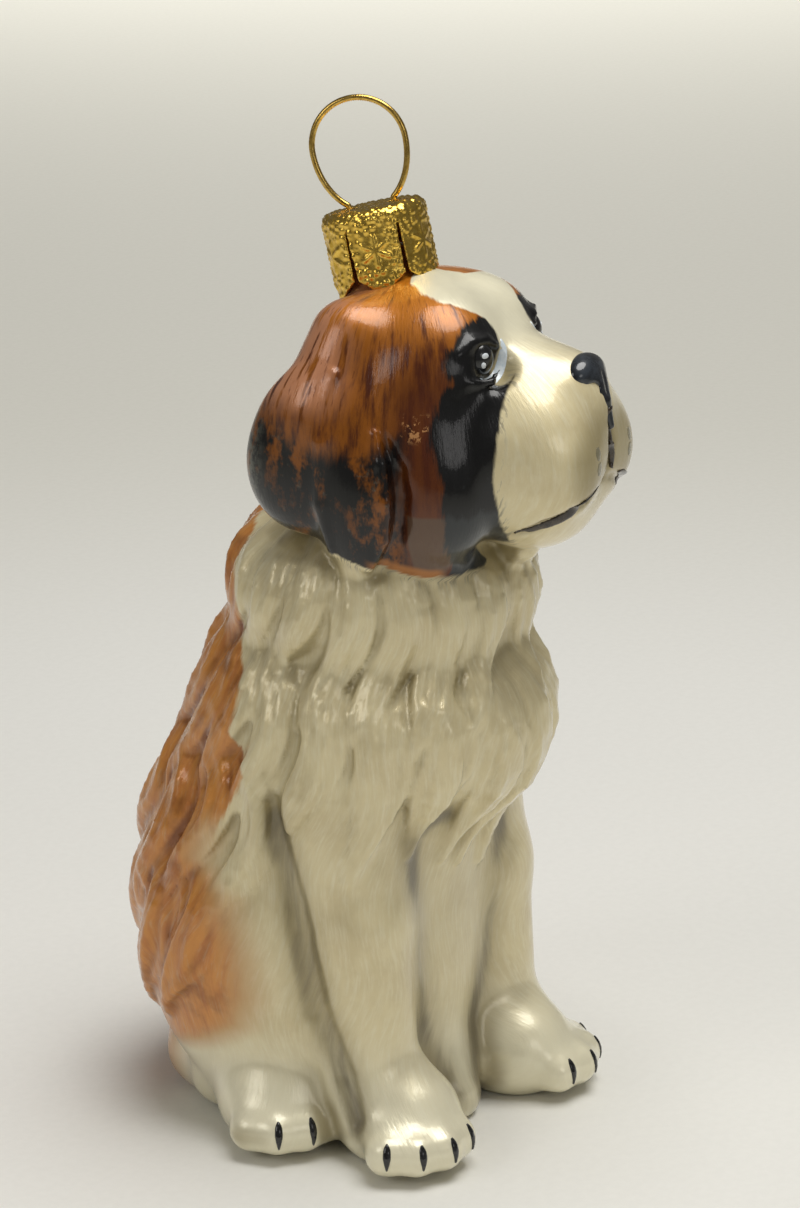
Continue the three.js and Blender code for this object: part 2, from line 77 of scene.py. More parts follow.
def rod(start, end, startRadius, endRadius):
    a, b = np.array(start, float), np.array(end, float)
    d = b - a
    length2 = float(d @ d)
    fat = max(startRadius, endRadius)

    def distance(x, y, z):
        px, py, pz = x - a[0], y - a[1], z - a[2]
        t = np.clip((px * d[0] + py * d[1] + pz * d[2]) / length2, 0, 1)
        away = np.sqrt((px - t * d[0]) ** 2 + (py - t * d[1]) ** 2 + (pz - t * d[2]) ** 2)
        return away - startRadius - t * (endRadius - startRadius)

    return {"distance": distance, "low": np.minimum(a, b) - fat, "high": np.maximum(a, b) + fat}


def bentRod(stations, blend):
    rods = [rod(s[:3], e[:3], s[3], e[3]) for s, e in zip(stations, stations[1:])]

    def distance(x, y, z):
        nearest = rods[0]["distance"](x, y, z)
        for each in rods[1:]:
            nearest = smoothMin(nearest, each["distance"](x, y, z), blend)
        return nearest

    return {
        "distance": distance,
        "low": np.min([r["low"] for r in rods], axis=0),
        "high": np.max([r["high"] for r in rods], axis=0),
    }


def add(shape, blend, carve=False):
    return {**shape, "blend": blend, "carve": carve}


def combined(nearest, own, form):
    if form["carve"]:
        return -smoothMin(-nearest, own, form["blend"])
    return smoothMin(nearest, own, form["blend"])


def distanceAt(forms, x, y, z):
    nearest = np.full(np.broadcast(x, y, z).shape, 1e3)
    for form in forms:
        nearest = combined(nearest, form["distance"](x, y, z), form)
    return nearest


turnCos = math.cos(math.radians(figure["headTurn"]))
turnSin = math.sin(math.radians(figure["headTurn"]))
pivotX, pivotY = figure["headPivot"]


def toHead(x, y):                 # body frame to the head's own frame
    px, py = x - pivotX, y - pivotY
    return turnCos * px + turnSin * py, turnCos * py - turnSin * px


def fromHead(x, y):
    return (turnCos * x - turnSin * y + pivotX, turnSin * x + turnCos * y + pivotY)


def inHeadFrame(forms):
    turnedForms = []
    for form in forms:
        low, high = form["low"], form["high"]
        corners = np.array([fromHead(x, y) for x in (low[0], high[0]) for y in (low[1], high[1])])
        low = np.array([*corners.min(axis=0), form["low"][2]])
        high = np.array([*corners.max(axis=0), form["high"][2]])
        plain = form["distance"]
        turnedForms.append({**form, "low": low, "high": high,
                            "distance": lambda x, y, z, plain=plain: plain(*toHead(x, y), z)})
    return turnedForms


def bothSides(make):
    return [form for sign in (1, -1) for form in make(sign)]


def bodyForms():
    w, l = figure["bodyWidth"], figure["bodyLength"]
    legX = figure["legSpacing"] / 2

    def foreleg(s):
        foot = (s * legX, -11.4, 10, figure["legRadius"])
        return (s * legX * 0.95, -6, 40, 8), (s * legX, -9.5, 26, 6.4), foot

    forms = [
        add(ellipsoid((0, 4.4, 26), (w / 2 - 1, l / 2 - 3, 22)), 1),
        add(ellipsoid((0, 4.6, 19), (16.5, 17, 13)), 5),
        add(ellipsoid((0, -0.5, 42), (17.4, 16, 20)), 7),
        add(ellipsoid((0, -5.6, 48), (17.2, 18.6, 12)), 5),
        add(ellipsoid((0, -5.2, 62.5), (16.2, 16.2, 10.5)), 4),
        add(ellipsoid((0, -4, 16), (14, 10.5, 18)), 4),
        add(bentRod(figure["bellyStrip"], 2), 3),
    ]
    forms += bothSides(lambda s: [
        add(bentRod(foreleg(s), 2), 3),
        add(ellipsoid((s * 11.6, -15, 4.8), (6.5, 7.6, 6.2)), 3),
        add(ellipsoid((s * 12.8, 2.5, 20), (8.6, 14.5, 17.5)), 2),
        add(rod((s * 8.6, 9.5, 4.6), (s * 15.5, -1, 4.8), 4.2, 5), 3),
        add(ellipsoid((s * 15.8, -2, 4.8), (6.2, 6.6, 5.6)), 2.5),
    ])
    forms.append(add(bentRod(figure["tail"], 2), 2))
    return forms


paws = {
    "front": {"x": 11.6, "y": -14, "splay": 25, "reach": 8.8, "step": 21},
    "hind": {"x": 15, "y": -0.5, "splay": 38, "reach": 7.6, "step": 23},
    "fan": (-1.5, -0.5, 0.5, 1.5),
}


def toeLine(paw, sign, place):      # gives a function for points along a toe
    angle = math.radians(sign * paw["splay"] + place * paw["step"])
    reach = paw["reach"] - 0.7 * (abs(place) - 0.5)
    dx, dy = math.sin(angle) * reach, -math.cos(angle) * reach
    return lambda share, z: (sign * paw["x"] + dx * share, paw["y"] + dy * share, z)


def toeForms():
    forms = []
    for sign in (1, -1):
        for name in ("front", "hind"):
            for place in paws["fan"]:
                at = toeLine(paws[name], sign, place)
                forms.append(add(rod(at(0.5, 4.6), at(1, 3.3), 3, 2.5), 1.4))
    return forms


def headForms():
    half = figure["muzzleWidth"] / 2
    forms = [add(ellipsoid((0, -4, 83), (figure["skullWidth"] / 2 - 1, 12, 14.4)), 1)]
    forms += bothSides(lambda s: [
        add(ellipsoid((s * 5.1, -8.6, 88), (6.1, 6, 7.2)), 4),
        add(ellipsoid((s * 8.8, -6.2, 75.8), (6.8, 9.8, 9.2)), 4),
    ])
    forms.append(add(rod((0, -12, 85.6), (0, -20.2, 85.6), 5.6, 4.2), 3))
    forms.append(add(ellipsoid((0, -16.5, 80.8), (half - 0.2, 9.3, 9.4)), 3))
    forms += bothSides(lambda s: [add(ellipsoid((s * (half - 5.9), -17.9, 78.9), (5.9, 8.2, 7.5)), 2)])
    forms.append(add(ellipsoid((0, -16.6, 73.8), (8, 7.2, 5.6)), 2))
    forms.append(add(rod((0, 1, 92), (0, 1.6, 96.8), 4.6, 3.8), 2))
    return inHeadFrame(forms)


def earForms():
    return inHeadFrame(bothSides(lambda s: [
        add(rod((s * 8.6, 0.6, 91), (s * 12.4, 2.8, 84), 4.6, 4.4), 2.5),
        add(ellipsoid((s * 13.6, 2.4, 79.6), (3.4, 7.6, 9)), 2),
        add(ellipsoid((s * 13, 5, 77.4), (3.6, 5.2, 6)), 2),
        add(ellipsoid((s * 14, -3, 74.2), (3, 4.6, 7)), 2),
    ]))


bareForms = bodyForms() + headForms() + earForms() + toeForms()


# locks of the coat, laid on the surface in tiers: each covers a span of the circle, with its tops at a height
def tier(start, end, count, top, length, lean, sway, width, rise, frontDrop=0):
    return {
        "start": start, "span": end - start, "count": count, "top": top, "length": length,
        "lean": lean, "sway": sway, "width": width, "rise": rise, "frontDrop": frontDrop,
    }


coat = {
    "tiers": [
        tier(-180, 180, 18, 70, 15, lean=8, sway=4, width=5.6, rise=1, frontDrop=3),
        tier(-115, 115, 11, 57, 16, lean=-6, sway=5, width=5.8, rise=1.1, frontDrop=6),
        tier(100, 260, 9, 62, 19, lean=5, sway=6, width=5.2, rise=1.1),
        tier(92, 268, 9, 47, 19, lean=-6, sway=6, width=5.8, rise=1.1),
        tier(96, 264, 9, 32, 17, lean=6, sway=6, width=5.6, rise=1),
    ],
    "share": (0, 0.25, 0.5, 0.78, 1), "fat": (0.34, 0.5, 0.5, 0.36, 0.14), "lift": (0, 0.85, 1, 0.95, 0.5),
    "steps": 11, "curl": 4.4,
    "ridges": (-0.46, -0.16, 0.16, 0.46), "ridgeWidth": 0.46, "ridgeRise": 0.36, "ridgeSteps": 12,
}


def bodyAxisY(z):
    return np.interp(z, (24, 62), (1, -6))


def surfaceRadius(forms, angle, z):      # how far out the surface lies
    dx, dy, axisY = np.sin(angle), -np.cos(angle), bodyAxisY(z)
    radius = np.full(angle.shape, 34.0)
    for _ in range(60):
        radius -= 0.7 * np.maximum(distanceAt(forms, dx * radius, axisY + dy * radius, z), 0)
    return radius


seed = 7


def draw():
    global seed
    seed = (seed * 16807) % 2147483647
    return seed / 2147483647


def layLocks():
    locks = []
    for row, each in enumerate(coat["tiers"]):
        for i in range(each["count"]):
            degrees = each["start"] + each["span"] * (i + 0.5 + 0.25 * (row % 2)) / each["count"]
            side = -1 if math.sin(math.radians(degrees)) < 0 else 1
            front = max(0, math.cos(math.radians(degrees)))
            locks.append({
                "angle": math.radians(degrees),
                "top": each["top"] - 2 * draw() - each["frontDrop"] * 0.3 * front,
                "length": each["length"] * (0.85 + 0.3 * draw()) + each["frontDrop"] * front,
                "lean": each["lean"] * side,
                "sway": each["sway"] * (0.7 + 0.6 * draw()),
                "width": each["width"] * (0.85 + 0.3 * draw()),
                "rise": each["rise"],
            })
    return locks


def swept(lock, share, wave=0):      # the direction of a lock along its length
    curl = lock["sway"] * np.sin(share * coat["curl"])
    return lock["angle"] + np.radians(lock["lean"] * share + curl + wave)


def strand(angle, z, out, fat, inner, blend):      # a rod bent along the coat
    places = zip(np.sin(angle) * out, bodyAxisY(z) - np.cos(angle) * out, z, fat)
    return add(bentRod(list(places), inner), blend)


def lockForms(locks):
    share = np.linspace(0, 1, coat["steps"])
    angle = np.array([swept(k, share) for k in locks])
    z = np.array([k["top"] - k["length"] * share for k in locks])
    radius = surfaceRadius(bareForms, angle, z)
    forms = []
    for k, a, h, r in zip(locks, angle, z, radius):
        fat = k["width"] * np.interp(share, coat["share"], coat["fat"])
        out = r - fat + k["rise"] * np.interp(share, coat["share"], coat["lift"])
        forms.append(strand(a, h, out, fat, 0.5, 0.6))
    return forms


def ridgeForms(locks, under):       # fine hair ridges, fanned over each lock and drawn together at its tip
    share = np.linspace(0.04, 1, coat["ridgeSteps"])
    angle, z, weight = [], [], []
    for n, k in enumerate(locks):
        for m, offset in enumerate(coat["ridges"]):
            spread = offset * k["width"] / 17 * (1 - share ** 2.2)
            wave = 1.6 * np.sin(share * 7 + 1.7 * m + 0.9 * n)
            angle.append(swept(k, share, wave) + spread)
            z.append(k["top"] - k["length"] * (share * (1 - 0.1 * abs(offset)) + 0.02 * m))
            weight.append(0.75 + 0.5 * ((n * 7 + m * 3) % 5) / 4)
    angle, z = np.array(angle), np.array(z)
    radius = surfaceRadius(under, angle, z)
    forms = []
    for a, h, r, w in zip(angle, z, radius, weight):
        fat = coat["ridgeWidth"] * w * (0.35 + 0.65 * np.sin(np.pi * np.clip(share, 0.06, 0.94)))
        out = r - fat + coat["ridgeRise"] * w * np.sin(np.pi * share) ** 0.6
        forms.append(strand(a, h, out, fat, 0.3, 0.55))
    return forms


coatLocks = layLocks()
laidLocks = lockForms(coatLocks)
ridges = ridgeForms(coatLocks, bareForms + laidLocks)
print("stage 2: coat laid,", len(laidLocks), "locks and", len(ridges), "ridges")


# carved and raised lines of the face and the ears, and the grooves between the thighs and the forelegs
def headPoint(x, y, z):
    return (*fromHead(x, y), z)


def headLine(*stations):
    return [(*headPoint(x, y, z), wide) for x, y, z, wide in stations]


carvings = {
    "mouth": ((0, -26.2, 76.6, 0.5), (3.4, -26, 75.6, 0.5), (6.6, -24.2, 74.4, 0.5),
              (7.8, -21.4, 72.9, 0.45), (7.6, -17.4, 71.2, 0.25)),
    "philtrum": ((0, -25.4, 83.4, 0.2), (0, -26.6, 81, 0.4), (0, -26.8, 77, 0.45)),
    "upperLid": ((5.2, -14.6, 91.2, 0.2), (6.4, -14.4, 92.4, 0.32), (8.2, -13.4, 92.4, 0.36),
                 (9.6, -12, 91, 0.2)),
    "lowerLid": ((5.2, -14.6, 88.6, 0.2), (7, -14, 87.6, 0.34), (8.8, -12.6, 88, 0.2)),
    "earFront": ((15.2, -5.4, 83.5, 0.3), (15.3, -6.6, 81.5, 0.6), (15.5, -7.7, 79.4, 0.9),
                 (15.6, -8.2, 76.6, 1), (15.5, -8.1, 73.6, 1), (15, -7.3, 70.4, 1), (14.6, -5.3, 67.6, 0.8)),
    "earRoll": ((14.6, -4.9, 83, 0.3), (15.4, -5.9, 80, 0.55), (15.7, -6.5, 76, 0.6),
                (15.5, -6.2, 72, 0.6), (15.2, -4.4, 68.6, 0.5)),
    "earFold": ((13.6, 0.5, 88, 0.3), (15.6, 0.6, 82, 0.5), (16.4, 0.4, 75, 0.5), (15.8, -0.4, 69.5, 0.3)),
    "thigh": ((19.6, -4, 41.5, 0.4), (19.2, -4.9, 36.2, 0.8), (19.3, -7.5, 27, 1),
              (18.7, -9.3, 17.7, 1.1), (17.7, -12.2, 10.5, 1), (17.9, -14, 6, 0.7)),
}


def onSurface(stations):             # moves the stations onto the bare figure, and keeps their widths
    given = np.array(stations, float)
    places = given[:, :3]
    step = 0.05
    for _ in range(8):
        value = distanceAt(bareForms, *places.T)
        ahead = [distanceAt(bareForms, *(places + step * way).T) for way in np.eye(3)]
        behind = [distanceAt(bareForms, *(places - step * way).T) for way in np.eye(3)]
        slope = (np.stack(ahead, axis=1) - np.stack(behind, axis=1)) / (2 * step)
        places = places - value[:, None] * slope / np.maximum((slope ** 2).sum(axis=1), 0.3)[:, None]
    return [(*place, width) for place, width in zip(places, given[:, 3])]


def carvedForms():
    forms = []
    for s in (1, -1):
        line = {}
        for name, stations in carvings.items():
            mirrored = [(s * x, y, z, w) for x, y, z, w in stations]
            line[name] = onSurface(mirrored if name == "thigh" else headLine(*mirrored))
        for name, blend in (("mouth", 0.6), ("philtrum", 0.7), ("earFront", 0.9), ("thigh", 1.6)):
            forms.append(add(bentRod(line[name], 0.4), blend, carve=True))
        forms += inHeadFrame([add(ellipsoid((s * 7.3, -15.4, 90), (2.8, 1.8, 2.6)), 1.2, carve=True)])
        for name, blend in (("upperLid", 0.8), ("lowerLid", 0.8), ("earRoll", 0.8), ("earFold", 0.9)):
            forms.append(add(bentRod(line[name], 0.4), blend))
    return forms


# the surface, on a grid that is finer over the head
grid = (
    np.arange(-25.2, 25.3, 0.44), np.arange(-34.5, 25.2, 0.44),
    np.concatenate([np.arange(-1.6, 64, 0.6), np.arange(64, 102.4, 0.42)]),
)


def openGrid(axes):
    return axes[0][:, None, None], axes[1][None, :, None], axes[2][None, None, :]


def fieldOn(forms, field):
    field = field.copy()
    for form in forms:
        pad = form["blend"] + 1.6
        window = tuple(
            slice(*np.searchsorted(axis, (low - pad, high + pad)))
            for axis, low, high in zip(grid, form["low"], form["high"])
        )
        if any(w.start >= w.stop for w in window):
            continue
        own = form["distance"](*openGrid([axis[w] for axis, w in zip(grid, window)]))
        field[window] = combined(field[window], own, form)
    return field


def sample(field, axes, points):           # the field between grid points
    index, share = [], []
    for axis, values in zip(axes, points.T):
        at = np.clip(np.searchsorted(axis, values) - 1, 0, len(axis) - 2)
        index.append(at)
        share.append(np.clip((values - axis[at]) / (axis[at + 1] - axis[at]), 0, 1))
    total = 0
    for corner in range(8):
        bits = [(corner >> d) & 1 for d in range(3)]
        weight = np.prod([s if b else 1 - s for s, b in zip(share, bits)], axis=0)
        total = total + weight * field[index[0] + bits[0], index[1] + bits[1], index[2] + bits[2]]
    return total


def surfaceNet(field, axes):
    inside = field < 0
    sums = np.zeros((3, field.size))
    counts = np.zeros(field.size)
    edges = []
    for axis in range(3):
        lower, upper = [slice(None)] * 3, [slice(None)] * 3
        lower[axis], upper[axis] = slice(0, -1), slice(1, None)
        lower, upper = tuple(lower), tuple(upper)
        at = np.argwhere(inside[lower] != inside[upper])
        step = np.eye(3, dtype=int)[axis]
        a, b = field[tuple(at.T)], field[tuple((at + step).T)]
        places = np.stack([axes[d][at[:, d]] for d in range(3)]).astype(float)
        places[axis] += a / (a - b) * (axes[axis][at[:, axis] + 1] - axes[axis][at[:, axis]])
        u, v = np.eye(3, dtype=int)[(axis + 1) % 3], np.eye(3, dtype=int)[(axis + 2) % 3]
        corners = (0 * u, u, u + v, v)
        cells = np.stack([np.ravel_multi_index((at - back).T, field.shape) for back in corners], axis=1)
        for column in cells.T:
            counts += np.bincount(column, minlength=counts.size)
            for d in range(3):
                sums[d] += np.bincount(column, weights=places[d], minlength=counts.size)
        edges.append(np.where((a < 0)[:, None], cells, cells[:, ::-1]))
    used = np.flatnonzero(counts)
    number = np.full(counts.size, -1)
    number[used] = np.arange(used.size)
    return (sums[:, used] / counts[used]).T, number[np.concatenate(edges)]


def slopeOf(field, axes, points, reach):
    ahead = [sample(field, axes, points + reach * way) for way in np.eye(3)]
    behind = [sample(field, axes, points - reach * way) for way in np.eye(3)]
    return (np.stack(ahead, axis=1) - np.stack(behind, axis=1)) / (2 * reach)


def settled(field, axes, points, steps=3):        # moves points onto the field's zero
    for _ in range(steps):
        value = sample(field, axes, points)
        slope = slopeOf(field, axes, points, 0.22)
        size = np.maximum((slope ** 2).sum(axis=1), 0.25)
        points = points - np.clip(value / size, -0.3, 0.3)[:, None] * slope
    return points


def unit(vectors):
    return vectors / np.linalg.norm(vectors, axis=1)[:, None]


def normalsOf(field, axes, points):
    return unit(slopeOf(field, axes, points, 0.5))


floorGap = 0.02
emptyField = np.full([len(axis) for axis in grid], 1e3, np.float32)
bareField = fieldOn(bareForms, emptyField)
lockedField = fieldOn(laidLocks, bareField)
fullField = fieldOn(ridges + carvedForms(), lockedField)
fullField = np.maximum(fullField, floorGap - grid[2][None, None, :].astype(np.float32))
points, quads = surfaceNet(fullField, grid)
points = settled(fullField, grid, points)
points[:, 2] = np.maximum(points[:, 2], floorGap)
print("stage 3: surface made,", len(points), "points and", len(quads), "faces")

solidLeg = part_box("foreleg_left")
shift = np.array([solidLeg[0][0] / mm - figure["seamX"], solidLeg[1][1] / mm - figure["seamY"], 0])


def makeMesh(name, vertices, faces, material, smooth=True):
    mesh = bpy.data.meshes.new(name)
    mesh.from_pydata(vertices.tolist(), [], faces)
    mesh.validate()
    mesh.polygons.foreach_set("use_smooth", [smooth] * len(mesh.polygons))
    mesh.materials.append(material)
    mesh.update()
    made = bpy.data.objects.new(name, mesh)
    bpy.context.scene.collection.objects.link(made)
    return made


def giveNumbers(mesh, name, values):
    kind, field = ("FLOAT", "value") if values.ndim == 1 else ("FLOAT_VECTOR", "vector")
    mesh.attributes.new(name, kind, "POINT").data.foreach_set(field, values.astype(np.float32).ravel())


# where each paint lies: distances in millimetres from its border, negative inside
borders = {
    # half width of the white blaze and muzzle, along a line up the face and back over the crown
    "blaze": ((62, 8.5), (66, 7.2), (67.5, 4.6), (70.6, 6.7), (72.8, 8.6), (75.4, 10), (78.2, 10.7),
              (80.3, 10.5), (83.3, 9.5), (85.7, 8.3), (87.2, 6.9), (90, 5), (92.5, 4.1), (94, 4.4),
              (96.9, 6.1), (100, 7), (102.7, 6.3), (104.6, 5), (108, 3.2)),
    "blazeFront": 16.9,
    "crownPatch": ((100.5, 0), (102, 4.5), (108, 4.5)),     # brown that cuts into the blaze on the left
    # rear edge of the black mask, by height
    "mask": ((66, -11.5), (74, -12.4), (77.6, -12.3), (80.7, -11.4), (83.7, -10.6), (86.7, -10.8),
             (88.2, -11.9), (90, -11.2), (91.7, -11.3), (93.1, -11.7), (94.6, -12.6), (98, -14)),
    # upper edge of the black on the ear, from its front to its back
    "ear": ((-8, 82.5), (-4.9, 80.7), (-1.8, 80.1), (1.5, 80.3), (4.4, 81.6), (7.7, 83.2), (12, 84)),
    "earFront": -7.4,
    "earSide": 11.8,
    "seam": ((-30, 66.4), (-10, 66.9), (6, 71.5), (30, 71.5)),      # lower edge of the head's paint
    # edge of the brown coat on the back and the thigh, by height
    "back": ((8, 14), (9.8, 7.8), (11.8, 3.3), (14.6, -1.2), (18.5, -2.6), (23, -2), (29.7, 0.6), (33, 4.4),
             (36, 3.6), (40, 1.6), (43.8, -0.4), (48, 2.4), (52.6, 1.3), (57, 3.5), (64, 5), (74, 7)),
}


def knotted(values, knots):
    places, heights = zip(*knots)
    return np.interp(values, places, heights)


def softStep(values, low, high):
    t = np.clip((values - low) / (high - low), 0, 1)
    return t * t * (3 - 2 * t)


def paintPlaces(points, normals):
    x, y, z = points.T
    hx, hy = toHead(x, y)
    side = np.abs(hx)
    seam = z - knotted(hy, borders["seam"])
    alongFace = z + np.maximum(hy + 13, 0) * np.clip((z - 88) / 5, 0, 1)
    blaze = knotted(alongFace, borders["blaze"]) - side
    blaze -= knotted(alongFace, borders["crownPatch"]) * softStep(hx, -0.5, 1)
    blaze -= 14 * softStep(hy, -4.5, -0.5)       # no blaze behind the cap
    earTop = np.maximum(z - knotted(hy, borders["ear"]), borders["earSide"] - side)
    angle = np.arctan2(x, -(y - bodyAxisY(z)))
    headAngle = np.arctan2(hx, -(hy + 2))
    onHead = softStep(seam, -0.6, 0.6)
    across = onHead * headAngle * 14 + (1 - onHead) * (angle * 17 + 0.8 * np.sin(z * 0.33 + angle * 3))
    return {
        "brownHead": np.maximum(np.maximum(blaze, -hy - borders["blazeFront"]), -seam),
        "mask": hy - knotted(z, borders["mask"]),
        "earBlack": np.maximum(earTop, borders["earFront"] - hy),
        "brownBack": np.maximum(knotted(z, borders["back"]) - y, seam + 2),
        "headBack": hy,
        "seam": seam,
        "side": side,
        "height": z,
        "hollow": hollowOf(points, normals, 0.9),
        "recess": hollowOf(points, normals, 3.2),
        "groove": awayFromLines(points),
        "grain": np.stack([across, z, side * 0.2], axis=1),
    }


shadedLines = {          # painted shade: grey run along the grooves of the legs
    "thigh": ((19.3, -4.4, 39.5, 0), (19.2, -4.9, 36.2, 0), (19.3, -7.5, 27, 0),
              (18.7, -9.3, 17.7, 0), (17.7, -12.4, 10.5, 0), (17.9, -14.2, 5, 0)),
    "inner": ((6, -17, 39, 0), (9, -15.6, 36.5, 0), (8.2, -13.5, 27, 0),
              (5.6, -13.8, 14, 0), (2.6, -16, 6, 0), (2, -19, 2, 0)),
}


def awayFromLines(points):
    nearest = np.full(len(points), 99.0)
    for stations in shadedLines.values():
        for s in (1, -1):
            line = bentRod([(s * x, y, z, w) for x, y, z, w in stations], 0.01)
            nearest = np.minimum(nearest, line["distance"](*points.T))
    return nearest


def hollowOf(points, normals, reach):        # 0 on open surface, towards 1 in a groove
    return np.clip(1 - sample(fullField, grid, points + reach * normals) / reach, -0.5, 1)


class Wiring:            # short words for joining shader nodes
    def __init__(self, name):
        self.material = bpy.data.materials.new(name)
        self.material.use_nodes = True
        self.tree = self.material.node_tree
        self.tree.nodes.clear()
        self.output = self.tree.nodes.new("ShaderNodeOutputMaterial")
        self.shader = self.tree.nodes.new("ShaderNodeBsdfPrincipled")
        self.tree.links.new(self.shader.outputs["BSDF"], self.output.inputs["Surface"])

    def put(self, socket, value):
        if isinstance(value, bpy.types.NodeSocket):
            self.tree.links.new(value, socket)
        elif isinstance(value, tuple) and len(value) == 3 and socket.type == "RGBA":
            socket.default_value = (*value, 1)
        else:
            socket.default_value = value

    def set(self, **values):             # baseColor is the socket Base Color
        for name, value in values.items():
            words = "".join(" " + c if c.isupper() else c for c in name).title()
            self.put(self.shader.inputs[words], value)

    def number(self, name, output="Fac"):
        node = self.tree.nodes.new("ShaderNodeAttribute")
        node.attribute_name = name
        return node.outputs[output]

    def place(self):
        coordinates = self.tree.nodes.new("ShaderNodeTexCoord")
        return self.scaled(coordinates.outputs["Object"], (1000, 1000, 1000))

    def scaled(self, vector, amounts):
        node = self.tree.nodes.new("ShaderNodeVectorMath")
        node.operation = "MULTIPLY"
        self.put(node.inputs[0], vector)
        node.inputs[1].default_value = amounts
        return node.outputs[0]

    def maths(self, operation, first, second=0.0):
        node = self.tree.nodes.new("ShaderNodeMath")
        node.operation = operation
        self.put(node.inputs[0], first)
        self.put(node.inputs[1], second)
        return node.outputs[0]

    def noise(self, vector, scale, detail=4.0, roughness=0.6):
        node = self.tree.nodes.new("ShaderNodeTexNoise")
        self.put(node.inputs["Vector"], vector)
        node.inputs["Scale"].default_value = scale
        node.inputs["Detail"].default_value = detail
        node.inputs["Roughness"].default_value = roughness
        return node.outputs["Fac"]

    def ramp(self, value, low, high, fromValue=0.0, toValue=1.0):
        node = self.tree.nodes.new("ShaderNodeMapRange")
        node.interpolation_type = "SMOOTHSTEP"
        self.put(node.inputs["Value"], value)
        limits = {"From Min": low, "From Max": high, "To Min": fromValue, "To Max": toValue}
        for socket, amount in limits.items():
            node.inputs[socket].default_value = amount
        return node.outputs["Result"]

    def both(self, *shares):
        result = shares[0]
        for share in shares[1:]:
            result = self.maths("MULTIPLY", result, share)
        return result

    def mix(self, share, first, second):
        node = self.tree.nodes.new("ShaderNodeMix")
        node.data_type = "RGBA"
        self.put(node.inputs["Factor"], share)
        self.put(node.inputs[6], first)          # the colour sockets A and B
        self.put(node.inputs[7], second)
        return node.outputs[2]

    def bump(self, height, strength, distance):
        node = self.tree.nodes.new("ShaderNodeBump")
        self.put(node.inputs["Height"], height)
        node.inputs["Strength"].default_value = strength
        node.inputs["Distance"].default_value = distance
        return node.outputs["Normal"]


